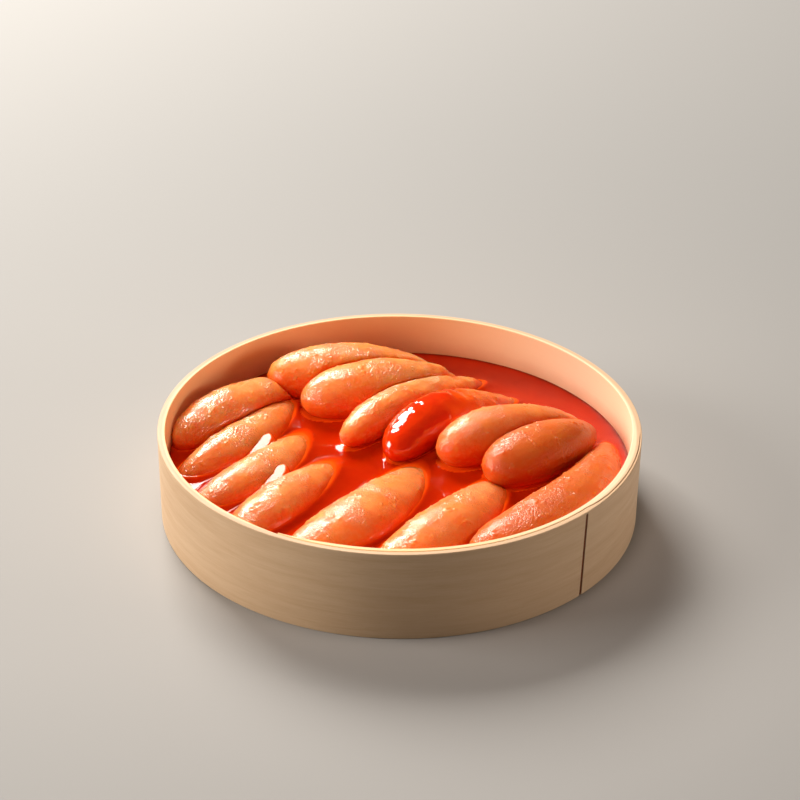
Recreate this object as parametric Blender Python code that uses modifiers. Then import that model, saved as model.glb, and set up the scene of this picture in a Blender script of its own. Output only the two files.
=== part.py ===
"""Mentaiko: seasoned cod roe sacs lying in red sauce, in a round tub of bent wood.

Metres, +Z up. The origin is the middle of the tub's underside.
"""

import math
from collections import namedtuple

import bmesh
import bpy
from mathutils import Matrix, Vector, noise

# Space kept between two pieces that touch
GAP = 0.0003

# In degrees: two faces that meet at more than the first are shown with a crisp edge, and at more than
# the second have that edge rounded
CRISP_OVER = 35.0
ROUNDED_OVER = 60.0

# The tub: one thin board, bent round until its ends overlap at the near side
OUTER_RADIUS = 0.135
TUB_HEIGHT = 0.0516
WALL = 0.0042
EDGE_ROUNDING = 0.0003
BASE_THICKNESS = 0.004
DEGREES_A_STEP = 4.0

# Azimuths are in degrees from +X, counted anticlockwise from above. The board's outer end lies over its
# inner end from BOARD_START to LAP_END, and both ends are shaved thinner there.
BOARD_START = -118.0
BOARD_END = 358.0
LAP_END = BOARD_END - 360.0
BULGE_RISES = (-122.0, -104.0)
BULGE_FALLS = (-20.0, 10.0)
BULGE = 0.0018
LAYER_MEETS_START = -126.0
LAYER_AT_START = 0.0032
LAYER = 0.0030
LAYER_PAST_SEAM = 0.0014
LAYER_TIP = 0.0008
THINNING = (-42.0, -36.0)

# The dark strip let into the outer layer, with its corners rounded by a share of its width. Its slot also
# reaches past the outer face, past the bottom and a little into the layer behind.
SEAM_AZIMUTH = -43.9
SEAM_LEAN = 2.0
SEAM_WIDTH = 0.0012
SEAM_DEPTH = 0.0026
SEAM_BOTTOM = 0.0006
SEAM_TOP = 0.0503
SEAM_SUNK = 0.0003
SEAM_CORNER = 0.45
SLOT_STANDS_OUT = 0.0012
SLOT_INTO_NEXT_LAYER = 0.0003
SLOT_BOTTOM = -0.005

# The food
SAUCE_LEVEL = 0.0256
SAC_SIDES = 16
SAC_RINGS = 13
LUMP_SIZE = 0.030
LUMP_DEPTH = 0.03

# The power of a half sine that a sac's thickness follows along it: 0.5 gives an ellipse's round ends.
# Nearer to the middle line than END_RADIUS, on a unit sphere, a point is one of the two ends.
ROUND_ENDS = 0.5
END_RADIUS = 1e-5

# A sac runs from its blunt end to its tapered one. bow bends its middle to the left of that way, rise
# lifts it, and fattest places its thickest part: 1 is the middle, and less is nearer the blunt end.
Sac = namedtuple("Sac", "blunt tapered bow rise width height fattest")

# From the back to the front: each sac is pressed in by those after it that it touches
SACS = (
    Sac((-0.129, 0.008, 0.030), (-0.056, 0.093, 0.021), 0.003, 0.003, 0.035, 0.031, 0.85),
    Sac((-0.079, 0.077, 0.035), (0.028, 0.099, 0.024), 0.005, 0.003, 0.042, 0.035, 0.78),
    Sac((-0.057, 0.050, 0.033), (0.036, 0.094, 0.026), 0.003, 0.003, 0.041, 0.034, 0.80),
    Sac((-0.032, 0.010, 0.032), (0.054, 0.096, 0.022), 0.007, 0.004, 0.027, 0.026, 0.80),
    Sac((-0.004, -0.004, 0.032), (0.072, 0.072, 0.022), 0.012, 0.004, 0.031, 0.029, 0.78),
    Sac((0.024, -0.008, 0.034), (0.112, 0.037, 0.024), 0.008, 0.004, 0.036, 0.033, 0.75),
    Sac((-0.124, -0.021, 0.022), (-0.064, 0.077, 0.019), -0.009, 0.003, 0.031, 0.028, 0.85),
    Sac((-0.112, -0.052, 0.022), (-0.054, 0.038, 0.017), -0.009, 0.003, 0.032, 0.028, 0.85),
    Sac((-0.090, -0.084, 0.022), (-0.034, 0.006, 0.016), -0.002, 0.004, 0.032, 0.028, 0.80),
    Sac((-0.060, -0.100, 0.023), (0.012, 0.004, 0.017), -0.012, 0.003, 0.040, 0.031, 0.85),
    Sac((-0.012, -0.108, 0.023), (0.058, -0.010, 0.017), -0.010, 0.003, 0.038, 0.031, 0.85),
    Sac((0.037, -0.098, 0.024), (0.119, 0.024, 0.024), -0.020, 0.004, 0.038, 0.031, 0.65),
    Sac((0.048, -0.027, 0.034), (0.112, 0.033, 0.027), -0.003, 0.003, 0.038, 0.033, 0.80),
)


def ease(value, low, high):
    """0 below low, 1 above high, and an even S between."""
    share = min(max((value - low) / (high - low), 0.0), 1.0)
    return share * share * (3.0 - 2.0 * share)


def clear_radius(azimuth):
    """The wall's inner face, which bulges inwards where the board is double."""
    azimuth = (azimuth + 180.0) % 360.0 - 180.0
    bulge = ease(azimuth, *BULGE_RISES) * (1.0 - ease(azimuth, *BULGE_FALLS))
    return OUTER_RADIUS - WALL - bulge * BULGE


def lap_radius(azimuth):
    """The inner face of the board's outer end, where it lies over the inner end."""
    layer = WALL
    layer += (LAYER_AT_START - WALL) * ease(azimuth, LAYER_MEETS_START, BOARD_START)
    layer += (LAYER - LAYER_AT_START) * ease(azimuth, BOARD_START, BULGE_RISES[1])
    layer += (LAYER_PAST_SEAM - LAYER) * ease(azimuth, *THINNING)
    layer += (LAYER_TIP - LAYER_PAST_SEAM) * ease(azimuth, THINNING[1], LAP_END)
    return OUTER_RADIUS - layer


def board_faces(azimuth):
    """The radii of the board's two faces where it has been bent round this far."""
    if azimuth <= LAP_END:
        return clear_radius(azimuth), lap_radius(azimuth) - GAP
    if azimuth > LAYER_MEETS_START + 360.0:
        return lap_radius(azimuth - 360.0), OUTER_RADIUS
    return clear_radius(azimuth), OUTER_RADIUS


def turned(radius, azimuth, z):
    angle = math.radians(azimuth)
    return Vector((radius * math.cos(angle), radius * math.sin(angle), z))


def plain_material(name, colour, roughness):
    material = bpy.data.materials.new(name)
    material.use_nodes = True
    shader = material.node_tree.nodes["Principled BSDF"]
    shader.inputs["Base Color"].default_value = (*colour, 1.0)
    shader.inputs["Roughness"].default_value = roughness
    shader.inputs["Metallic"].default_value = 0.0
    material.diffuse_color = (*colour, 1.0)
    return material


def add_object(name, mesh_data, collection, material=None):
    """Makes an object of the bmesh, which is freed."""
    mesh = bpy.data.meshes.new(name)
    mesh_data.to_mesh(mesh)
    mesh_data.free()
    mesh.shade_smooth()
    mesh.set_sharp_from_angle(angle=math.radians(CRISP_OVER))
    if material:
        mesh.materials.append(material)
    piece = bpy.data.objects.new(name, mesh)
    collection.objects.link(piece)
    return piece


def make_cutter(piece):
    piece.hide_render = True
    piece.display_type = "WIRE"
    return piece


def cut_by(piece, cutter):
    boolean = piece.modifiers.new(f"cut by {cutter.name}", "BOOLEAN")
    boolean.operation = "DIFFERENCE"
    boolean.solver = "EXACT"
    boolean.object = cutter


def bent_board(collection, material):
    """A straight board, steamed and bent round as a spiral that ends over its own beginning."""
    turn = BOARD_END - BOARD_START
    steps = round(turn / DEGREES_A_STEP)
    mesh_data = bmesh.new()
    bmesh.ops.create_cube(mesh_data, size=1.0)
    lengthwise = [edge for edge in mesh_data.edges if abs(edge.verts[0].co.x - edge.verts[1].co.x) > 0.5]
    bmesh.ops.subdivide_edges(mesh_data, edges=lengthwise, cuts=steps - 1, use_grid_fill=True)
    for vert in mesh_data.verts:
        azimuth = BOARD_START + turn * (vert.co.x + 0.5)
        inner, outer = board_faces(azimuth)
        radius = outer if vert.co.y < 0.0 else inner
        vert.co = turned(radius, azimuth, TUB_HEIGHT * (vert.co.z + 0.5))
    board = add_object("bentwood_hoop", mesh_data, collection, material)
    rounding = board.modifiers.new("rounded edges", "BEVEL")
    rounding.width = EDGE_ROUNDING
    rounding.segments = 1
    rounding.limit_method = "ANGLE"
    rounding.angle_limit = math.radians(ROUNDED_OVER)
    return board


def round_plate(name, bottom, top, collection, material):
    """A disc that fills the tub from wall to wall."""
    sides = round(360.0 / DEGREES_A_STEP)
    mesh_data = bmesh.new()
    bmesh.ops.create_cone(mesh_data, cap_ends=True, segments=sides, radius1=1.0, radius2=1.0, depth=1.0)
    for vert in mesh_data.verts:
        nearest = round((math.degrees(math.atan2(vert.co.y, vert.co.x)) - BOARD_START) / DEGREES_A_STEP)
        azimuth = BOARD_START + nearest * DEGREES_A_STEP
        vert.co = turned(clear_radius(azimuth) - GAP, azimuth, bottom if vert.co.z < 0.0 else top)
    return add_object(name, mesh_data, collection, material)


def seam_bar(name, margin, sunk, depth, bottom, collection, material=None):
    """An upright bar with rounded corners, leaning a little, its outer face sunk that far in the wall."""
    width = SEAM_WIDTH + 2.0 * margin
    top = SEAM_TOP + margin
    mesh_data = bmesh.new()
    bmesh.ops.create_cube(mesh_data, size=1.0)
    bmesh.ops.scale(mesh_data, vec=(depth, width, top - bottom), verts=mesh_data.verts)
    corners = [edge for edge in mesh_data.edges if abs(edge.verts[0].co.x - edge.verts[1].co.x) > depth / 2.0]
    corner = width * SEAM_CORNER
    bmesh.ops.bevel(mesh_data, geom=corners, offset=corner, segments=3, profile=0.5, affect="EDGES")
    bar = add_object(name, mesh_data, collection, material)
    middle = turned(OUTER_RADIUS - sunk - depth / 2.0, SEAM_AZIMUTH, (top + bottom) / 2.0)
    lean = Matrix.Rotation(math.radians(-SEAM_LEAN), 4, "X")
    facing = Matrix.Rotation(math.radians(SEAM_AZIMUTH), 4, "Z")
    bar.matrix_world = Matrix.Translation(middle) @ facing @ lean
    return bar


def sac_surface(sac, direction, grow):
    """The point that a direction of the unit sphere becomes: its poles are the sac's two ends."""
    blunt, tapered = Vector(sac.blunt), Vector(sac.tapered)
    way = tapered - blunt
    left = Vector((-way.y, way.x, 0.0)).normalized()
    middle = (blunt + tapered) / 2.0 + 2.0 * sac.bow * left + Vector((0.0, 0.0, 2.0 * sac.rise))
    share = min(max((1.0 + direction.z) / 2.0, 0.0), 1.0)
    centre = (1.0 - share) ** 2 * blunt + 2.0 * share * (1.0 - share) * middle + share**2 * tapered
    along = ((1.0 - share) * (middle - blunt) + share * (tapered - middle)).normalized()
    across = Vector((0.0, 0.0, 1.0)).cross(along).normalized()
    up = along.cross(across)
    round_way = Vector((direction.x, direction.y, 0.0))
    if round_way.length < END_RADIUS:
        return centre + grow * direction.z * along
    round_way.normalize()
    swell = math.sin(math.pi * share**sac.fattest) ** ROUND_ENDS
    skin = across * (round_way.x * sac.width / 2.0) + up * (round_way.y * sac.height / 2.0)
    swell *= 1.0 + LUMP_DEPTH * noise.noise((centre + skin) / LUMP_SIZE)
    outward = across * round_way.x + up * round_way.y
    return centre + skin * swell + grow * (outward * math.sqrt(1.0 - direction.z**2) + along * direction.z)


def kept_off_wall(point):
    """A soft sac lies flat against the wall where it would go past it."""
    azimuth = math.degrees(math.atan2(point.y, point.x))
    most = clear_radius(azimuth) - 2.0 * GAP
    radius = math.hypot(point.x, point.y)
    share = min(most / radius, 1.0) if radius > 0.0 else 1.0
    return Vector((point.x * share, point.y * share, point.z))


def roe_sac(name, sac, collection, material):
    mesh_data = bmesh.new()
    bmesh.ops.create_uvsphere(mesh_data, u_segments=SAC_SIDES, v_segments=SAC_RINGS, radius=1.0)
    for vert in mesh_data.verts:
        vert.co = kept_off_wall(sac_surface(sac, vert.co.copy(), 0.0))
    return add_object(name, mesh_data, collection, material)


def press_of(name, sac, collection):
    """The space that a sac takes up, gap and all, to cut from the sauce and from the sacs under it."""
    mesh_data = bmesh.new()
    bmesh.ops.create_uvsphere(mesh_data, u_segments=SAC_SIDES, v_segments=SAC_RINGS, radius=1.0)
    for vert in mesh_data.verts:
        vert.co = sac_surface(sac, vert.co.copy(), GAP)
    return make_cutter(add_object(name, mesh_data, collection))


def box_of(piece):
    places = [vert.co for vert in piece.data.vertices]
    low = [min(place[axis] for place in places) for axis in range(3)]
    high = [max(place[axis] for place in places) for axis in range(3)]
    return low, high


def boxes_meet(first, second):
    (low_a, high_a), (low_b, high_b) = box_of(first), box_of(second)
    return all(low_a[axis] < high_b[axis] and low_b[axis] < high_a[axis] for axis in range(3))


def keep_largest_body(piece):
    """Applies the cuts and drops the scraps of sauce that they leave between two sacs."""
    graph = bpy.context.evaluated_depsgraph_get()
    mesh = bpy.data.meshes.new_from_object(piece.evaluated_get(graph))
    piece.modifiers.clear()
    piece.data = mesh
    mesh_data = bmesh.new()
    mesh_data.from_mesh(mesh)
    left = set(mesh_data.verts)
    bodies = []
    while left:
        front = [left.pop()]
        body = set(front)
        while front:
            vert = front.pop()
            near = {edge.other_vert(vert) for edge in vert.link_edges} & left
            left -= near
            body |= near
            front.extend(near)
        bodies.append(body)
    bodies.sort(key=len)
    scraps = [vert for body in bodies[:-1] for vert in body]
    bmesh.ops.delete(mesh_data, geom=scraps, context="VERTS")
    mesh_data.to_mesh(mesh)
    mesh_data.free()


def main():
    for old in list(bpy.data.objects):
        bpy.data.objects.remove(old)
    parts = bpy.data.collections.new("mentaiko")
    cutters = bpy.data.collections.new("cutters")
    bpy.context.scene.collection.children.link(parts)
    bpy.context.scene.collection.children.link(cutters)

    pale_wood = plain_material("pale_wood", (0.76, 0.55, 0.34), 0.6)
    dark_bark = plain_material("dark_bark", (0.07, 0.02, 0.01), 0.6)
    red_sauce = plain_material("red_sauce", (0.62, 0.06, 0.01), 0.15)
    cod_roe = plain_material("cod_roe", (0.85, 0.29, 0.12), 0.35)

    hoop = bent_board(parts, pale_wood)
    round_plate("base_plate", 0.0, BASE_THICKNESS, parts, pale_wood)

    slot_depth = SLOT_STANDS_OUT + LAYER + SLOT_INTO_NEXT_LAYER
    slot = make_cutter(seam_bar("seam_slot", GAP, -SLOT_STANDS_OUT, slot_depth, SLOT_BOTTOM, cutters))
    cut_by(hoop, slot)
    seam_bar("seam_strip", 0.0, SEAM_SUNK, SEAM_DEPTH, SEAM_BOTTOM, parts, dark_bark)

    sauce = round_plate("red_sauce", BASE_THICKNESS + GAP, SAUCE_LEVEL, parts, red_sauce)
    sacs, presses = [], []
    for number, sac in enumerate(SACS, start=1):
        sacs.append(roe_sac(f"roe_sac_{number:02d}", sac, parts, cod_roe))
        presses.append(press_of(f"press_of_{number:02d}", sac, cutters))
        cut_by(sauce, presses[-1])
    for place, piece in enumerate(sacs):
        for press in presses[place + 1 :]:
            if boxes_meet(piece, press):
                cut_by(piece, press)
    bpy.context.view_layer.update()
    keep_largest_body(sauce)


main()
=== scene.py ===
"""Looks for a round bentwood tub of mentaiko: cod roe sacs that lie in thick red sauce.

Metres, +Z up, in the frame's own place. Every new piece is made from the frame's solids.
"""

import math

import bmesh
import bpy
import numpy as np
from mathutils import Matrix, Vector, noise
from mathutils.bvhtree import BVHTree


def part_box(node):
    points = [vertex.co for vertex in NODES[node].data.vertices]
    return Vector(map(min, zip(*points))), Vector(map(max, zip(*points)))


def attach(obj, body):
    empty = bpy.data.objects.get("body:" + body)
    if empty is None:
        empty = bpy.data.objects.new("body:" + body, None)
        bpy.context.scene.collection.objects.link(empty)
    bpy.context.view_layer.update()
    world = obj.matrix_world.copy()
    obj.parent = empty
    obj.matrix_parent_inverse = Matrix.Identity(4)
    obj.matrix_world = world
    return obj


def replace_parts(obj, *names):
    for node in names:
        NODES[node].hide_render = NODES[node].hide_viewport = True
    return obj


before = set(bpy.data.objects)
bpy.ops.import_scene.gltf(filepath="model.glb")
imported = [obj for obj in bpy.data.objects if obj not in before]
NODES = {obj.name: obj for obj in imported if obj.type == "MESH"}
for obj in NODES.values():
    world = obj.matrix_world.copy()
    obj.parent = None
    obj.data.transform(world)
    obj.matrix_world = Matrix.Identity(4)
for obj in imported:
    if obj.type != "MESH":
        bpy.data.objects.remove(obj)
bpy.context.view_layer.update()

MM = 0.001

# The tub and the food, from the frame. The sacs are numbered from 1 in the order of their names.
SAUCE_LOW, SAUCE_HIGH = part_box("red_sauce")
SAUCE_LEVEL = SAUCE_HIGH.z
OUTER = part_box("bentwood_hoop")[1].y
SAC_NAMES = sorted(name for name in NODES if name.startswith("roe_sac_"))

# The camera of the photo, found from the tub's rim and base, with its angles in degrees
CAMERA_PLACE = (0.0, -0.95896, 0.59859)
CAMERA_DOWN = 29.08
CAMERA_ROLL = 0.61
CAMERA_LENS = 88.695
SENSOR_WIDTH = 36.0
CAMERA_SEES_FROM = 0.01

# The board's solid has a corner every FACET degrees, counted from FIRST_CORNER. Corners closer than
# SAME_PLACE are joined, and those closer than ON_CUT to a cut lie on it.
FACET = 4
FIRST_CORNER = 2
SAME_PLACE = 0.001 * MM
ON_CUT = 0.0001 * MM

# In degrees: faces that meet at more than this are shown with a crisp edge
BOARD_CRISP_OVER = 35.0
SAUCE_CRISP_OVER = 60.0

# Wood. Each kind of mark in it: how many times as long as wide, how many in a metre, detail and roughness.
# They repeat up the height and, GRAIN_LEAN times as close, out along the radius.
PALE_WOOD = (0.66, 0.45, 0.27)
DARK_WOOD = (0.57, 0.36, 0.20)
RINGS = (14.0, 260.0, 4.0, 0.55)
FIBRES = (22.0, 1700.0, 3.0, 0.6)
CLOUDS = (2.2, 30.0, 3.0, 0.5)
PORES = (9.0, 4200.0, 2.0, 0.5)
GRAIN_LEAN = 1.7
WOOD_BUMP = 0.12 * MM

# The tub's inner face: its warm tint and the deeper one at the left, which are painted light thrown onto it
# by the food, and the stain that fades out above the sauce, with an uneven edge, which is real
WALL_BOUNCE_TINT = (0.93, 0.72, 0.48)
LEFT_WALL_BOUNCE_TINT = (0.99, 0.56, 0.21)
STAIN = (0.70, 0.20, 0.05)
STAIN_STARTS_BELOW = 2.5 * MM
STAIN_HEIGHT = 10.0 * MM
STAIN_EDGE = 5.0 * MM
PAST_INNER_FACE = 1.0 * MM

# The strip of bark
DARK_BARK = (0.085, 0.014, 0.004)
PALE_BARK = (0.20, 0.045, 0.014)
STREAKS_SQUEEZED = (1.0, 1.0, 0.12)
BARK_BUMP = 0.1 * MM

# Sauce over roe, where it is thin and where it is thick, and sauce by itself, by how shallow it looks
THIN_SAUCE = (0.92, 0.095, 0.004)
THICK_SAUCE = (0.72, 0.032, 0.001)
SAUCE_COLOURS = (
    (0.0, (0.20, 0.010, 0.001)),
    (0.12, (0.43, 0.014, 0.0004)),
    (0.42, (0.64, 0.030, 0.0008)),
    (0.75, (0.82, 0.060, 0.002)),
    (1.0, THIN_SAUCE),
)

# The roe under its skin: the deeper and the paler colour of a sac's top, painted paler as painted light,
# and of its flanks, painted redder as painted shade, the colour of its mottles, and the painted shade that
# some sacs turn to. Its grains are packed cells, with sides bent by noise.
LIT_TOP_OF_SAC = ((0.95, 0.22, 0.045), (0.98, 0.33, 0.095))
SHADED_FLANK_OF_SAC = ((0.95, 0.11, 0.005), (0.97, 0.19, 0.018))
MOTTLE = (0.98, 0.50, 0.19)
SHADED_ROE = (0.47, 0.070, 0.006)
ROE_CELL = 1.9 * MM
ROE_BUMP = 0.15 * MM
CELL_BEND = 0.8 * MM

# How much darker, redder and browner some sacs are than the rest, by their number: painted shade, as if a
# shadow lay over them
SHADED_SACS = {6: 0.34, 10: 0.08, 11: 0.18, 12: 0.74, 13: 0.74}

# The mesh of a sac: its even squares, and how it is smoothed and filled out again. Only what shows above
# this depth in the sauce has detail.
SAC_VOXEL = 1.1 * MM
SMOOTHING_ROUNDS = 45
SKIN_SHRINKAGE = 0.35 * MM
SHOWN_BELOW_LEVEL = 1.5 * MM

# Relief of a sac, from its broadest forms to its finest. The roe is grainier in patches, and has larger
# beads in patches of their own. GRAIN_REACH is how far a grain's dome reaches, in spacings.
BULGE_SIZE = 20.0 * MM
BULGE_HEIGHT = 0.7 * MM
LUMP_SIZE = 7.0 * MM
LUMP_HEIGHT = 0.20 * MM
WASHED_LUMPS_ADD = 0.75 * MM
WRINKLE_SIZE = 2.6 * MM
WRINKLE_HEIGHT = 0.05 * MM
PATCH_SIZE = 9.0 * MM
PATCH_EDGE_SIZE = 2.5 * MM
PATCH_EDGE = 0.25
PATCHY = (0.0, 0.8)
GRAIN_SIZE = 1.25 * MM
GRAIN_HEIGHT = 0.03 * MM
PATCHES_ADD = 0.20 * MM
BEAD_SIZE = 2.3 * MM
BEAD_HEIGHT = 0.55 * MM
BEAD_PATCH_SIZE = 5.0 * MM
BEADED = (0.22, 0.50)
GRAIN_REACH = 0.62
FILM_SMOOTHS_BY = 1.6

# The thick coat of sauce over one sac, with its number
COATED = 5
COAT_THICKNESS = 0.7 * MM
COAT_WAVE_HEIGHT = 0.28 * MM
COAT_WAVE_SIZE = 5.0 * MM
COAT_RIPPLE_SIZE = 2.4 * MM
COAT_RIPPLE = 0.4
COAT_STARTS = (0.6, 1.0)
COAT_FADES = (22.0 * MM, 42.0 * MM)
COAT_FADES_BY = 0.75
COAT_EDGE = 8.0 * MM
COAT_EDGE_SIZE = 11.0 * MM

# The film of sauce at the foot of every sac, which is real sauce. It is thicker on flanks whose normal has
# a low Z, and that extra red is painted shade on the lower flanks.
FOOT_FILM = 0.10
FLANK_FILM_AND_SHADE = 0.45
STEEP = (0.35, 0.85)
FOOT_FADES = (0.5 * MM, 6.5 * MM)
FOOT_EDGE = 0.8 * MM
FOOT_EDGE_SIZE = 6.0 * MM

# The sauce that ran over the sacs' tapered ends at the back right, and runs down them in drips
WASHED_X = (0.0, 30.0 * MM)
WASHED_Y = (25.0 * MM, 50.0 * MM)
WASH_FILM = 0.6
DRIP_SIZE = 9.0 * MM
DRIP_HEIGHT = 14.0 * MM
DRIPS = (-0.75, 0.05)

# The sauce's surface: a grid that lies a little lower than the solid's top, and climbs from there. Its
# points at the wall are moved onto it, and it reaches a little into the wall and the sacs.
SAUCE_STEP = 0.75 * MM
SAUCE_SUNK = 0.5 * MM
INTO_SAC = 1.6 * MM
INTO_WALL = 0.25 * MM
FAR = 30.0 * MM

# How the sauce climbs the sacs and, less, the wall, and how it swells and ripples
MENISCUS_HEIGHT = 1.9 * MM
MENISCUS_REACH = 2.6 * MM
MENISCUS_AT_WALL = 0.8
SWELL_HEIGHT = 0.10 * MM
SWELL_SIZE = 16.0 * MM
RIPPLE_HEIGHT = 0.10 * MM
RIPPLE_LENGTH = 5.5 * MM
RIPPLE_REACH = 9.0 * MM

# How shallow the sauce looks: more so beside a sac and over one, and less at the wall, where it is darkened
# as painted shade
SHALLOW_LEAST = 0.15
SHALLOW_REACH = 0.7 * MM
SHALLOW_DEPTH = 3.5 * MM
PAINTED_SHADE_AT_WALL = 0.25
WALL_SHADE_REACH = 1.0 * MM

# A pool is sauce that two sacs hold up between them: its middle, the way it runs in degrees, its half
# length and half width, and its height over the level. Its top slopes up along POOL_UPHILL, and POOL_EDGE
# is where it ends, as shares of its half sizes, squared.
POOLS = (
    ((-80.3 * MM, 4.3 * MM), 64.0, 14.0 * MM, 5.6 * MM, 4.0 * MM),
    ((-69.2 * MM, -27.5 * MM), 62.0, 11.5 * MM, 5.2 * MM, 4.4 * MM),
)
POOL_SLOPE = 0.23
POOL_UPHILL = (0.82, 0.57)
POOL_EDGE = (0.8, 1.9)

# Each softbox: azimuth, elevation and distance, size, watts, colour, spread, and whether it shows in gloss.
# Angles are in degrees, seen from the middle of the sauce.
SOFTBOXES = {
    "key_softbox": (115.0, 36.0, 3.0, (1.4, 1.4), 152.0, (1.0, 0.94, 0.86), 180.0, True),
    "left_softbox": (184.0, 18.0, 2.6, (1.4, 1.2), 70.0, (1.0, 0.94, 0.86), 180.0, True),
    "right_softbox": (-6.0, 6.0, 2.0, (0.60, 0.50), 15.0, (1.0, 0.90, 0.80), 180.0, True),
    "top_softbox": (-90.0, 86.0, 1.2, (0.35, 0.35), 0.35, (1.0, 0.80, 0.66), 40.0, False),
}
WORLD_COLOUR = (0.90, 0.90, 0.92)
WORLD_STRENGTH = 0.025
FLOOR_COLOUR = (0.345, 0.34, 0.335)
FLOOR_ROUGHNESS = 0.75
FLOOR_REACH = 6.0


def ease(values, low, high):
    """0 below low, 1 above high, and an even S between."""
    share = np.clip((np.asarray(values, float) - low) / (high - low), 0.0, 1.0)
    return share * share * (3.0 - 2.0 * share)


def in_units(points, size, shift):
    """The points in units of size. A shift of their own makes two layers of noise differ."""
    scale = 1.0 / size
    return [(x * scale + shift, y * scale, z * scale) for x, y, z in points]


def noise_at(points, size, shift=0.0):
    """Smooth noise of that size, from about -1 to 1, at each point."""
    return np.array([noise.noise(point) for point in in_units(points, size, shift)])


def grain_at(points, size, shift=0.0):
    """Domes of that size, packed like roe: 1 on top of a grain, 0 between grains."""
    nearest = np.array([noise.voronoi(point)[0][0] for point in in_units(points, size, shift)])
    return np.clip(1.0 - (nearest / GRAIN_REACH) ** 2, 0.0, 1.0)


def points_of(mesh):
    places = np.empty(len(mesh.vertices) * 3, np.float32)
    mesh.vertices.foreach_get("co", places)
    return places.reshape(-1, 3).astype(float)


def normals_of(mesh):
    normals = np.empty(len(mesh.vertices) * 3, np.float32)
    mesh.vertex_normals.foreach_get("vector", normals)
    return normals.reshape(-1, 3).astype(float)


def set_points(mesh, places):
    mesh.vertices.foreach_set("co", places.astype(np.float32).ravel())
    mesh.update()


def set_attribute(mesh, name, values):
    """A value at each point of the mesh, which materials read by its name."""
    attribute = mesh.attributes.new(name, "FLOAT", "POINT")
    attribute.data.foreach_set("value", np.asarray(values, np.float32))


def set_material(mesh, material):
    mesh.materials.clear()
    mesh.materials.append(material)


def add_object(name, data):
    thing = bpy.data.objects.new(name, data)
    bpy.context.scene.collection.objects.link(thing)
    return thing


def add_piece(name, mesh, material):
    """A new piece of the visible model, which rides on the frame's one body."""
    mesh.name = name
    set_material(mesh, material)
    piece = add_object(name, mesh)
    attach(piece, "root")
    return piece


def tree_of(*meshes):
    """A search tree over the faces of the meshes."""
    corners, faces = [], []
    for mesh in meshes:
        first = len(corners)
        corners += [vert.co.copy() for vert in mesh.vertices]
        faces += [[first + corner for corner in face.vertices] for face in mesh.polygons]
    return BVHTree.FromPolygons(corners, faces)


def wall_radius_at_level():
    """The radius of the tub's inner face at the sauce's level, for each degree of azimuth."""
    hoop = tree_of(NODES["bentwood_hoop"].data)
    radii = []
    for degree in range(360):
        way = Vector((math.cos(math.radians(degree)), math.sin(math.radians(degree)), 0.0))
        hit = hoop.ray_cast(Vector((0.0, 0.0, SAUCE_LEVEL)), way)[0]
        radii.append(math.hypot(hit.x, hit.y))
    return np.array(radii)


WALL_RADII = wall_radius_at_level()


def wall_at(x, y):
    """The radius of the tub's inner face in the direction of each point."""
    azimuth = np.degrees(np.arctan2(y, x)) % 360.0
    return np.interp(azimuth, np.arange(361), np.append(WALL_RADII, WALL_RADII[0]))


def feed(tree, socket, value):
    """Links a socket to the one that feeds it, or gives it a plain value."""
    if isinstance(value, bpy.types.NodeSocket):
        tree.links.new(value, socket)
    elif socket.type == "RGBA":
        socket.default_value = (*value, 1.0)
    else:
        socket.default_value = value


def feed_inputs(tree, node, inputs):
    for name, value in inputs.items():
        feed(tree, node.inputs[name], value)


def new_material(name):
    """A new material, its node tree and its shader."""
    material = bpy.data.materials.new(name)
    material.use_nodes = True
    return material, material.node_tree, material.node_tree.nodes["Principled BSDF"]


def add_node(tree, kind, inputs=None, **settings):
    node = tree.nodes.new(kind)
    for name, value in settings.items():
        setattr(node, name, value)
    feed_inputs(tree, node, inputs or {})
    return node


def place_node(tree):
    """A point's place in its object, for a texture to be laid by."""
    return add_node(tree, "ShaderNodeTexCoord").outputs["Object"]


def attribute_node(tree, name):
    """What set_attribute gave the mesh under that name."""
    return add_node(tree, "ShaderNodeAttribute", attribute_name=name).outputs["Fac"]


def math_node(tree, operation, first, second=0.0, clamp=False):
    inputs = {0: first, 1: second}
    return add_node(tree, "ShaderNodeMath", inputs, operation=operation, use_clamp=clamp).outputs[0]


def vector_node(tree, operation, first, second):
    return add_node(tree, "ShaderNodeVectorMath", {0: first, 1: second}, operation=operation).outputs[0]


def plus(tree, first, second):
    return math_node(tree, "ADD", first, second)


def times(tree, first, *factors):
    """The product of all the values."""
    product = first
    for factor in factors:
        product = math_node(tree, "MULTIPLY", product, factor)
    return product


def one_less(tree, value, clamp=False):
    """1 with the value taken off."""
    return math_node(tree, "SUBTRACT", 1.0, value, clamp)


def ramp_node(tree, factor, *stops):
    """A colour ramp: each stop is (position, (r, g, b)) or (position, grey)."""
    node = add_node(tree, "ShaderNodeValToRGB", {"Fac": factor})
    elements = node.color_ramp.elements
    while len(elements) < len(stops):
        elements.new(0.5)
    for element, (position, value) in zip(elements, stops):
        element.position = position
        element.color = (*value, 1.0) if isinstance(value, tuple) else (value, value, value, 1.0)
    return node.outputs["Color"]


def mix_colour(tree, factor, first, second):
    """The first colour where the factor is 0, and the second where it is 1."""
    node = add_node(tree, "ShaderNodeMix", data_type="RGBA")
    sockets = {socket.identifier: socket for socket in node.inputs}
    feed(tree, sockets["Factor_Float"], factor)
    feed(tree, sockets["A_Color"], first)
    feed(tree, sockets["B_Color"], second)
    return next(socket for socket in node.outputs if socket.identifier == "Result_Color")


def noise_node(tree, place, scale, detail=3.0, roughness=0.5):
    inputs = {"Vector": place, "Scale": scale, "Detail": detail, "Roughness": roughness}
    return add_node(tree, "ShaderNodeTexNoise", inputs).outputs["Fac"]


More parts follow.
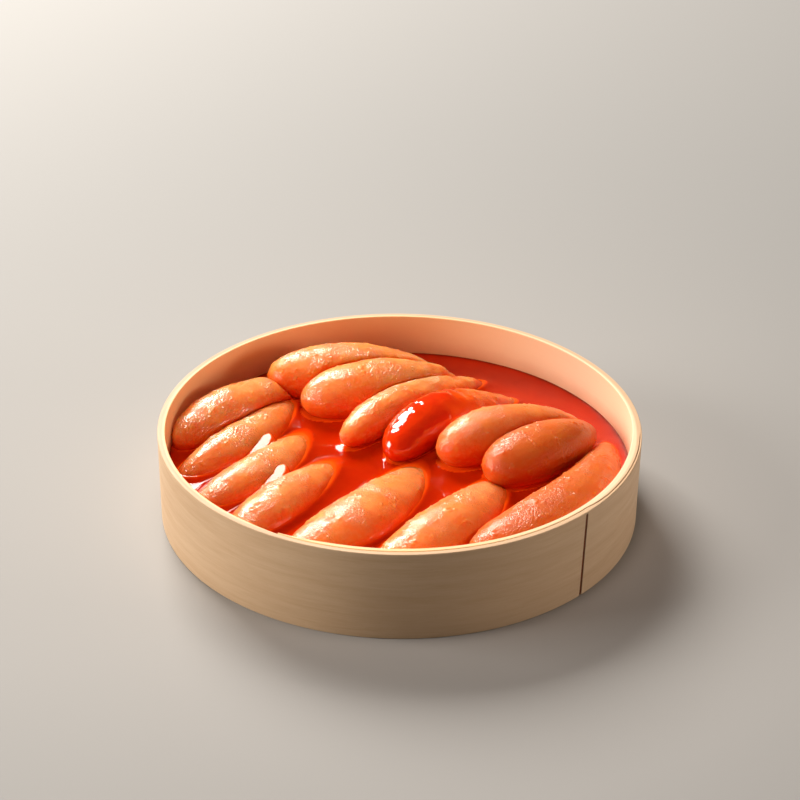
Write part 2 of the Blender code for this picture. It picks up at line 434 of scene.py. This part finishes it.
def bump_node(tree, height, distance, strength=1.0):
    inputs = {"Height": height, "Distance": distance, "Strength": strength}
    return add_node(tree, "ShaderNodeBump", inputs).outputs["Normal"]


def darker(colour, share):
    return tuple(channel * share for channel in colour)


def wood_material(name, with_stain_and_bounce=False):
    """Planed softwood, bent with its grain running round the tub."""
    material, tree, shader = new_material(name)
    place = place_node(tree)
    x, y, z = add_node(tree, "ShaderNodeSeparateXYZ", {"Vector": place}).outputs
    radius = math_node(tree, "SQRT", plus(tree, times(tree, x, x), times(tree, y, y)))
    across = plus(tree, z, times(tree, radius, GRAIN_LEAN))

    def marks(stretch, scale, detail, roughness):
        long_x, long_y = (math_node(tree, "DIVIDE", axis, stretch) for axis in (x, y))
        parts = {"X": long_x, "Y": long_y, "Z": across}
        along_grain = add_node(tree, "ShaderNodeCombineXYZ", parts).outputs["Vector"]
        return noise_node(tree, along_grain, scale, detail, roughness)

    rings, fibres, clouds, pores = (marks(*kind) for kind in (RINGS, FIBRES, CLOUDS, PORES))
    grain = plus(tree, times(tree, rings, 0.6), times(tree, fibres, 0.4))
    colour = ramp_node(tree, grain, (0.34, DARK_WOOD), (0.62, PALE_WOOD))
    in_clouds = ramp_node(tree, clouds, (0.35, 0.0), (0.75, 0.5))
    colour = mix_colour(tree, in_clouds, colour, darker(PALE_WOOD, 0.86))
    in_pores = ramp_node(tree, pores, (0.62, 0.0), (0.80, 0.25))
    colour = mix_colour(tree, in_pores, colour, darker(DARK_WOOD, 0.62))
    if with_stain_and_bounce:
        colour = stained_and_bounce_lit(tree, colour, radius, x, z, place)
    height = plus(tree, times(tree, fibres, 0.7), times(tree, rings, 0.5))
    feed_inputs(tree, shader, {
        "Base Color": colour,
        "Normal": bump_node(tree, height, WOOD_BUMP, 0.55),
        "Roughness": ramp_node(tree, grain, (0.3, 0.62), (0.7, 0.48)),
    })
    return material


def stained_and_bounce_lit(tree, colour, radius, x, z, place):
    """The inner face takes up sauce from below, a real stain, and a painted warm light thrown on it by what
    it holds.
    """
    inside_board = float(WALL_RADII.max()) + PAST_INNER_FACE
    inner = ramp_node(tree, times(tree, radius, 1.0 / inside_board), (0.994, 1.0), (0.999, 0.0))
    from_left = plus(tree, math_node(tree, "DIVIDE", x, 2.0 * OUTER), 0.5)
    leftness = ramp_node(tree, from_left, (0.55, 1.0), (0.9, 0.0))
    edge = times(tree, noise_node(tree, place, 120.0), STAIN_EDGE)
    above = math_node(tree, "SUBTRACT", z, plus(tree, edge, SAUCE_LEVEL - STAIN_STARTS_BELOW))
    height = math_node(tree, "DIVIDE", above, STAIN_HEIGHT)
    soaked = ramp_node(tree, height, (0.0, 1.0), (0.22, 0.55), (1.0, 0.0))
    # Painted light: the inner face warmed, more at the left, as if lit by the food
    colour = mix_colour(tree, times(tree, inner, 0.75), colour, WALL_BOUNCE_TINT)
    colour = mix_colour(tree, times(tree, inner, leftness, 0.65), colour, LEFT_WALL_BOUNCE_TINT)
    return mix_colour(tree, times(tree, inner, soaked, 0.5), colour, STAIN)


def bark_material():
    """Dark bark with fine upright streaks."""
    material, tree, shader = new_material("dark_bark")
    streaks = noise_node(tree, vector_node(tree, "MULTIPLY", place_node(tree), STREAKS_SQUEEZED), 1500.0)
    feed_inputs(tree, shader, {
        "Base Color": ramp_node(tree, streaks, (0.3, DARK_BARK), (0.7, PALE_BARK)),
        "Normal": bump_node(tree, streaks, BARK_BUMP, 0.6),
        "Roughness": 0.6,
        "Specular IOR Level": 0.15,
    })
    return material


def roe_colour(tree, place, mottle, film):
    """Pale orange roe, painted paler on top as painted light, redder on its flanks as painted shade and
    darker in some sacs as painted shade, under its film of sauce.
    """
    clouds = noise_node(tree, place, 75.0, 3.0, 0.55)
    # Painted light and shade: a paler colour on tops that face up, and a redder one on the flanks, by the
    # attribute side
    top, shaded_flank = (ramp_node(tree, clouds, *zip((0.32, 0.68), pair)) for pair in (LIT_TOP_OF_SAC, SHADED_FLANK_OF_SAC))
    colour = mix_colour(tree, attribute_node(tree, "side"), top, shaded_flank)
    colour = mix_colour(tree, ramp_node(tree, mottle, (0.45, 0.0), (0.78, 0.30)), colour, MOTTLE)
    # Painted shade: some sacs are darkened and browned as if a shadow lay over them
    colour = mix_colour(tree, attribute_node(tree, "painted_shade"), colour, SHADED_ROE)
    colour = mix_colour(tree, ramp_node(tree, film, (0.0, 0.0), (0.5, 1.0)), colour, THIN_SAUCE)
    return mix_colour(tree, ramp_node(tree, film, (0.5, 0.0), (1.0, 1.0)), colour, THICK_SAUCE)


def roe_height(tree, place, mottle, film, wetness):
    """Packed grains with bent sides, smoother where the skin is dry and gone where sauce covers them."""
    bend = add_node(tree, "ShaderNodeTexNoise", {"Vector": place, "Scale": 700.0, "Detail": 1.0})
    bend = vector_node(tree, "MULTIPLY", bend.outputs["Color"], (CELL_BEND, CELL_BEND, CELL_BEND))
    cell_inputs = {"Vector": vector_node(tree, "ADD", place, bend), "Scale": 1.0 / ROE_CELL}
    cells = add_node(tree, "ShaderNodeTexVoronoi", cell_inputs, feature="DISTANCE_TO_EDGE")
    beads = ramp_node(tree, cells.outputs["Distance"], (0.0, 0.0), (0.08, 0.65), (0.18, 1.0))
    height = plus(tree, beads, times(tree, mottle, 0.5))
    bare = one_less(tree, times(tree, film, 1.8), clamp=True)
    return times(tree, height, bare, ramp_node(tree, wetness, (0.46, 0.30), (0.56, 1.0)))


def roe_material():
    """Moist skin over packed roe, with a film of sauce where the attribute film says so."""
    material, tree, shader = new_material("cod_roe")
    place = place_node(tree)
    film = attribute_node(tree, "film")
    mottle = noise_node(tree, place, 420.0, 3.0, 0.6)
    wetness = plus(tree, noise_node(tree, place, 62.0, 5.0, 0.65), times(tree, film, 0.3))
    normal = bump_node(tree, roe_height(tree, place, mottle, film, wetness), ROE_BUMP)
    # The sacs with painted shade are also less glossy
    less_when_shaded = one_less(tree, times(tree, attribute_node(tree, "painted_shade"), 0.75))
    feed_inputs(tree, shader, {
        "Base Color": roe_colour(tree, place, mottle, film),
        "Normal": normal,
        "Roughness": ramp_node(tree, film, (0.0, 0.30), (0.6, 0.08)),
        "IOR": 1.40,
        "Specular IOR Level": 0.15,
        "Subsurface Weight": ramp_node(tree, film, (0.0, 0.9), (0.5, 0.35)),
        "Subsurface Radius": (1.0, 0.34, 0.08),
        "Subsurface Scale": 12.0 * MM,
        "Coat Normal": normal,
        "Coat Weight": times(tree, ramp_node(tree, wetness, (0.42, 0.15), (0.54, 1.0)), less_when_shaded),
        "Coat Roughness": 0.07,
        "Coat IOR": 1.65,
    })
    return material


def sauce_material():
    """Thick red sauce, lighter where the attribute shallow says a sac lies just under it, darker as painted
    shade at the wall.
    """
    material, tree, shader = new_material("red_sauce")
    clouds = noise_node(tree, place_node(tree), 90.0)
    unevenness = times(tree, math_node(tree, "SUBTRACT", clouds, 0.5), 0.18)
    depth = plus(tree, attribute_node(tree, "shallow"), unevenness)
    feed_inputs(tree, shader, {
        "Base Color": ramp_node(tree, depth, *SAUCE_COLOURS),
        "Roughness": 0.045,
        "IOR": 1.42,
        "Specular IOR Level": 0.3,
        "Subsurface Weight": 0.25,
        "Subsurface Radius": (1.0, 0.12, 0.02),
        "Subsurface Scale": 3.0 * MM,
    })
    return material


def welded(node):
    """The node's faces alone, as a bmesh in which they share their corners."""
    places = [vert.co for vert in node.data.vertices]
    bare = bpy.data.meshes.new("bare")
    bare.from_pydata(places, [], [list(face.vertices) for face in node.data.polygons])
    solid = bmesh.new()
    solid.from_mesh(bare)
    bmesh.ops.remove_doubles(solid, verts=solid.verts, dist=SAME_PLACE)
    bpy.data.meshes.remove(bare)
    return solid


def build_board(material):
    """The bent board with a corner at every degree, set on the true curve between the solid's corners."""
    solid = welded(NODES["bentwood_hoop"])
    for degree in range(180):
        if (degree - FIRST_CORNER) % FACET == 0:
            continue
        angle = math.radians(degree)
        everything = solid.verts[:] + solid.edges[:] + solid.faces[:]
        across = (-math.sin(angle), math.cos(angle), 0.0)
        bmesh.ops.bisect_plane(solid, geom=everything, dist=ON_CUT, plane_co=(0, 0, 0), plane_no=across)
    for vert in solid.verts:
        azimuth = math.degrees(math.atan2(vert.co.y, vert.co.x))
        off_middle = (azimuth - FIRST_CORNER) % FACET - FACET / 2
        stretch = math.cos(math.radians(off_middle)) / math.cos(math.radians(FACET / 2))
        vert.co.x *= stretch
        vert.co.y *= stretch
    mesh = bpy.data.meshes.new("board")
    solid.to_mesh(mesh)
    solid.free()
    mesh.shade_smooth()
    mesh.set_sharp_from_angle(angle=math.radians(BOARD_CRISP_OVER))
    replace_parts(add_piece("hoop_board", mesh, material), "bentwood_hoop")


def dress_tub():
    """The bottom and the strip keep their CAD shapes and take their materials."""
    build_board(wood_material("pale_wood", with_stain_and_bounce=True))
    set_material(NODES["base_plate"].data, wood_material("base_wood"))
    set_material(NODES["seam_strip"].data, bark_material())


def even_copy(node):
    """The node's solid as a smooth mesh of even squares."""
    mesh = bpy.data.meshes.new("cage")
    cage = welded(node)
    cage.to_mesh(mesh)
    cage.free()
    worker = add_object("worker", mesh)
    remesh = worker.modifiers.new("even", "REMESH")
    remesh.mode = "VOXEL"
    remesh.voxel_size = SAC_VOXEL
    smooth = worker.modifiers.new("smooth", "SMOOTH")
    smooth.factor = 0.5
    smooth.iterations = SMOOTHING_ROUNDS
    graph = bpy.context.evaluated_depsgraph_get()
    even = bpy.data.meshes.new_from_object(worker.evaluated_get(graph))
    bpy.data.objects.remove(worker)
    set_points(even, points_of(even) + SKIN_SHRINKAGE * normals_of(even))
    return even


def refine(mesh):
    """Splits the faces that show above the sauce, and evens out their points."""
    fine = bmesh.new()
    fine.from_mesh(mesh)
    limit = SAUCE_LEVEL - SHOWN_BELOW_LEVEL
    edges = [edge for edge in fine.edges if edge.verts[0].co.z > limit and edge.verts[1].co.z > limit]
    bmesh.ops.subdivide_edges(fine, edges=edges, cuts=1, use_grid_fill=True, smooth=0.0)
    shown = [vert for vert in fine.verts if vert.co.z > limit]
    bmesh.ops.smooth_vert(fine, verts=shown, factor=0.5, use_axis_x=True, use_axis_y=True, use_axis_z=True)
    fine.to_mesh(mesh)
    fine.free()


def wash_at(places):
    """From 0 to 1: how much sauce ran over the sacs' tapered ends at the back right."""
    x, y, _ = places.T
    return ease(x, *WASHED_X) * ease(y, *WASHED_Y)


def film_on(number, places, normals):
    """The sauce over a sac at each place: 0 is bare, 0.5 a thin film and 1 a thick coat. On the steep
    flanks near the sauce the film is partly painted shade.
    """
    x, _, z = places.T
    above = z - SAUCE_LEVEL
    foot_edge = FOOT_EDGE * noise_at(places, FOOT_EDGE_SIZE, 3.0)
    # Painted shade: the steeper the flank, the more of the sauce's red it takes
    steep = 1.0 - ease(normals[:, 2], *STEEP)
    film = (FOOT_FILM + FLANK_FILM_AND_SHADE * steep) * (1.0 - ease(above + foot_edge, *FOOT_FADES))
    drips = ease(noise_at(places, DRIP_SIZE, 8.0) - above / DRIP_HEIGHT, *DRIPS)
    film = np.maximum(film, WASH_FILM * wash_at(places) * drips)
    if number == COATED:
        coat_edge = COAT_EDGE * noise_at(places, COAT_EDGE_SIZE)
        film = np.maximum(film, 1.0 - COAT_FADES_BY * ease(x + coat_edge, *COAT_FADES))
    return film


def relief_on(number, places, film):
    """How far the skin stands out at each place over the smooth form."""
    bare = 1.0 - np.clip(FILM_SMOOTHS_BY * film, 0.0, 1.0)
    lump_height = LUMP_HEIGHT + WASHED_LUMPS_ADD * wash_at(places)
    patches = noise_at(places, PATCH_SIZE, number) + PATCH_EDGE * noise_at(places, PATCH_EDGE_SIZE)
    grain_height = GRAIN_HEIGHT + PATCHES_ADD * ease(patches, *PATCHY)
    beaded = ease(noise_at(places, BEAD_PATCH_SIZE, number * 7.0), *BEADED)
    waves = noise_at(places, COAT_WAVE_SIZE, 40.0) + COAT_RIPPLE * noise_at(places, COAT_RIPPLE_SIZE, 50.0)
    rise = BULGE_HEIGHT * noise_at(places, BULGE_SIZE, number * 11.0)
    rise += lump_height * noise_at(places, LUMP_SIZE, number * 3.0)
    rise += WRINKLE_HEIGHT * noise_at(places, WRINKLE_SIZE, number * 5.0) * bare
    rise += grain_height * grain_at(places, GRAIN_SIZE, number) * bare
    rise += BEAD_HEIGHT * grain_at(places, BEAD_SIZE, number + 0.5) * beaded * bare
    rise += (COAT_THICKNESS + COAT_WAVE_HEIGHT * waves) * ease(film, *COAT_STARTS)
    return rise


def build_sacs(material):
    """Every roe sac, with the grain of the roe under its skin. Returns the mesh of each smooth form."""
    forms = {}
    for number, name in enumerate(SAC_NAMES, start=1):
        mesh = even_copy(NODES[name])
        forms[name] = mesh.copy()
        refine(mesh)
        places, normals = points_of(mesh), normals_of(mesh)
        shown = places[:, 2] > SAUCE_LEVEL - SHOWN_BELOW_LEVEL
        film = np.ones(len(places))
        film[shown] = film_on(number, places[shown], normals[shown])
        rise = np.zeros(len(places))
        rise[shown] = relief_on(number, places[shown], film[shown])
        set_points(mesh, places + rise[:, None] * normals)
        set_attribute(mesh, "film", film)
        # Painted shade: how far this sac is darkened as if it lay in shadow
        set_attribute(mesh, "painted_shade", np.full(len(places), SHADED_SACS.get(number, 0.0)))
        # Painted light and shade: the tops, which face up, take the paler colour and the flanks the redder
        # one
        set_attribute(mesh, "side", 1.0 - ease(normals[:, 2], 0.25, 1.0))
        mesh.shade_smooth()
        piece = add_piece(name + "_skin", mesh, material)
        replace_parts(piece, name)
    return forms


def signed_distance(tree, point):
    """Distance to the nearest sac, less than 0 inside one."""
    place, normal, _, distance = tree.find_nearest(point, FAR)
    if place is None:
        return FAR
    return distance if (point - place).dot(normal) > 0.0 else -distance


def grid_in_tub():
    """A square grid, pulled onto the wall at its rim. Returns x and y, which points are inside, how far the
    wall is, and how many points a side has."""
    count = int(math.ceil(OUTER / SAUCE_STEP))
    axis = np.arange(-count, count + 1) * SAUCE_STEP
    x, y = (grid.ravel() for grid in np.meshgrid(axis, axis, indexing="ij"))
    radius = np.hypot(x, y)
    wall = wall_at(x, y) + INTO_WALL
    at_rim = radius > wall - 0.5 * SAUCE_STEP
    inside = radius < wall + 0.9 * SAUCE_STEP
    pull = np.where(at_rim, wall / np.maximum(radius, SAUCE_STEP), 1.0)
    to_wall = np.maximum(wall - INTO_WALL - radius * pull, 0.0)
    return x * pull, y * pull, inside, to_wall, len(axis)


def sacs_around(forms, x, y, inside):
    """From each point of the sauce: how far the nearest sac and the coated one are, or FAR, and the height
    of the sac there, or -FAR."""
    sacs = tree_of(*forms.values())
    coated = tree_of(forms[SAC_NAMES[COATED - 1]])
    to_sac, to_coated = np.full(len(x), FAR), np.full(len(x), FAR)
    top_of_sac = np.full(len(x), -FAR)
    down = Vector((0.0, 0.0, -1.0))
    for i in np.nonzero(inside)[0]:
        point = Vector((x[i], y[i], SAUCE_LEVEL))
        to_sac[i] = signed_distance(sacs, point)
        to_coated[i] = max(signed_distance(coated, point), 0.0)
        hit = sacs.ray_cast(Vector((x[i], y[i], OUTER)), down)[0]
        if hit is not None:
            top_of_sac[i] = hit.z
    return to_sac, to_coated, top_of_sac


def pools_at(x, y):
    """How far the pools stand over the level at each point, and from 0 to 1 where they are."""
    height, cover = np.zeros(len(x)), np.zeros(len(x))
    for (middle_x, middle_y), azimuth, half_length, half_width, top in POOLS:
        way_x, way_y = math.cos(math.radians(azimuth)), math.sin(math.radians(azimuth))
        along = (x - middle_x) * way_x + (y - middle_y) * way_y
        across = (y - middle_y) * way_x - (x - middle_x) * way_y
        share = (along / half_length) ** 2 + (across / half_width) ** 2
        covered = 1.0 - ease(share, *POOL_EDGE)
        uphill = (x - middle_x) * POOL_UPHILL[0] + (y - middle_y) * POOL_UPHILL[1]
        height = np.maximum(height, (top + POOL_SLOPE * uphill) * covered)
        cover = np.maximum(cover, covered)
    return height, cover


def sauce_grid(forms):
    """The sauce's top as a square grid. Returns its points, which are used, how shallow the sauce looks
    there, darker as painted shade along the wall, and how many points a side has."""
    x, y, inside, to_wall, side = grid_in_tub()
    to_sac, to_coated, top_of_sac = sacs_around(forms, x, y, inside)
    beside = np.maximum(to_sac, 0.0)
    pool, cover = pools_at(x, y)
    rise = MENISCUS_HEIGHT * np.maximum(np.exp(-beside / MENISCUS_REACH), cover)
    rise += MENISCUS_AT_WALL * MENISCUS_HEIGHT * np.exp(-to_wall / MENISCUS_REACH)
    rise += SWELL_HEIGHT * noise_at(np.stack([x, y, np.zeros(len(x))], axis=1), SWELL_SIZE)
    ripples = np.cos(to_coated * (2.0 * math.pi / RIPPLE_LENGTH)) * np.exp(-to_coated / RIPPLE_REACH)
    z = SAUCE_LEVEL - SAUCE_SUNK + rise + RIPPLE_HEIGHT * ripples + pool

    over_sac = top_of_sac < z + INTO_SAC
    used = inside & ((to_sac > -INTO_SAC) | (over_sac & (pool > 0.0)))
    has_sac_under = (to_sac > 0.0) & (top_of_sac > -FAR)
    under = np.where(has_sac_under, np.maximum(SAUCE_LEVEL - top_of_sac, 0.0), FAR)
    nearness = np.exp(-np.minimum(beside / SHALLOW_REACH, under / SHALLOW_DEPTH))
    shallow = SHALLOW_LEAST + (1.0 - SHALLOW_LEAST) * nearness
    # Painted shade: the sauce darkened along the wall
    shallow -= PAINTED_SHADE_AT_WALL * np.exp(-to_wall / WALL_SHADE_REACH)
    return np.stack([x, y, z], axis=1), used, shallow, side


def build_sauce(forms, material):
    """The sauce: a fine top surface that climbs the sacs and the wall, closed below like its solid."""
    places, used, shallow, side = sauce_grid(forms)
    index = np.arange(side * side).reshape(side, side)
    squares = np.stack([index[:-1, :-1], index[1:, :-1], index[1:, 1:], index[:-1, 1:]], axis=-1)
    squares = squares.reshape(-1, 4)
    kept, faces = np.unique(squares[used[squares].all(axis=1)], return_inverse=True)
    mesh = bpy.data.meshes.new("sauce")
    mesh.from_pydata(places[kept].tolist(), [], faces.reshape(-1, 4).tolist())
    set_attribute(mesh, "shallow", shallow[kept])
    solid = bmesh.new()
    solid.from_mesh(mesh)
    bmesh.ops.recalc_face_normals(solid, faces=solid.faces)
    border = [edge for edge in solid.edges if edge.is_boundary]
    sides = bmesh.ops.extrude_edge_only(solid, edges=border)["geom"]
    for vert in (item for item in sides if isinstance(item, bmesh.types.BMVert)):
        vert.co.z = SAUCE_LOW.z
    foot = [item for item in sides if isinstance(item, bmesh.types.BMEdge) and item.is_boundary]
    bmesh.ops.triangle_fill(solid, edges=foot, use_beauty=True)
    bmesh.ops.recalc_face_normals(solid, faces=solid.faces)
    solid.to_mesh(mesh)
    solid.free()
    mesh.shade_smooth()
    mesh.set_sharp_from_angle(angle=math.radians(SAUCE_CRISP_OVER))
    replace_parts(add_piece("red_sauce_surface", mesh, material), "red_sauce")


def add_camera():
    down, roll = math.radians(CAMERA_DOWN), math.radians(CAMERA_ROLL)
    camera = add_object("camera", bpy.data.cameras.new("camera"))
    camera.data.sensor_width = SENSOR_WIDTH
    camera.data.lens = CAMERA_LENS
    camera.data.clip_start = CAMERA_SEES_FROM
    turn = Matrix.Rotation(math.radians(90.0) - down, 4, "X") @ Matrix.Rotation(roll, 4, "Z")
    camera.matrix_world = Matrix.Translation(CAMERA_PLACE) @ turn
    bpy.context.scene.camera = camera


def add_softbox(name, azimuth, elevation, distance, size, energy, colour, spread, in_gloss):
    """An area light that faces the tub from that direction."""
    light = bpy.data.lights.new(name, "AREA")
    light.shape = "RECTANGLE"
    light.size, light.size_y = size
    light.energy = energy
    light.color = colour
    light.spread = math.radians(spread)
    lamp = add_object(name, light)
    turn, lift = math.radians(azimuth), math.radians(elevation)
    way = Vector((math.cos(lift) * math.cos(turn), math.cos(lift) * math.sin(turn), math.sin(lift)))
    lamp.location = way * distance + Vector((0.0, 0.0, SAUCE_LEVEL))
    lamp.rotation_euler = (-way).to_track_quat("-Z", "Y").to_euler()
    lamp.visible_glossy = in_gloss


def add_world():
    world = bpy.data.worlds.new("studio")
    bpy.context.scene.world = world
    world.use_nodes = True
    inputs = {"Color": WORLD_COLOUR, "Strength": WORLD_STRENGTH}
    feed_inputs(world.node_tree, world.node_tree.nodes["Background"], inputs)
    bpy.context.scene.view_settings.view_transform = "Standard"


def add_floor():
    mesh = bpy.data.meshes.new("floor")
    sheet = bmesh.new()
    bmesh.ops.create_grid(sheet, x_segments=1, y_segments=1, size=FLOOR_REACH)
    sheet.to_mesh(mesh)
    sheet.free()
    material, tree, shader = new_material("floor")
    feed_inputs(tree, shader, {"Base Color": FLOOR_COLOUR, "Roughness": FLOOR_ROUGHNESS})
    set_material(mesh, material)
    floor = add_object("floor", mesh)


def main():
    dress_tub()
    forms = build_sacs(roe_material())
    build_sauce(forms, sauce_material())
    add_camera()
    for name, settings in SOFTBOXES.items():
        add_softbox(name, *settings)
    add_world()
    add_floor()


main()
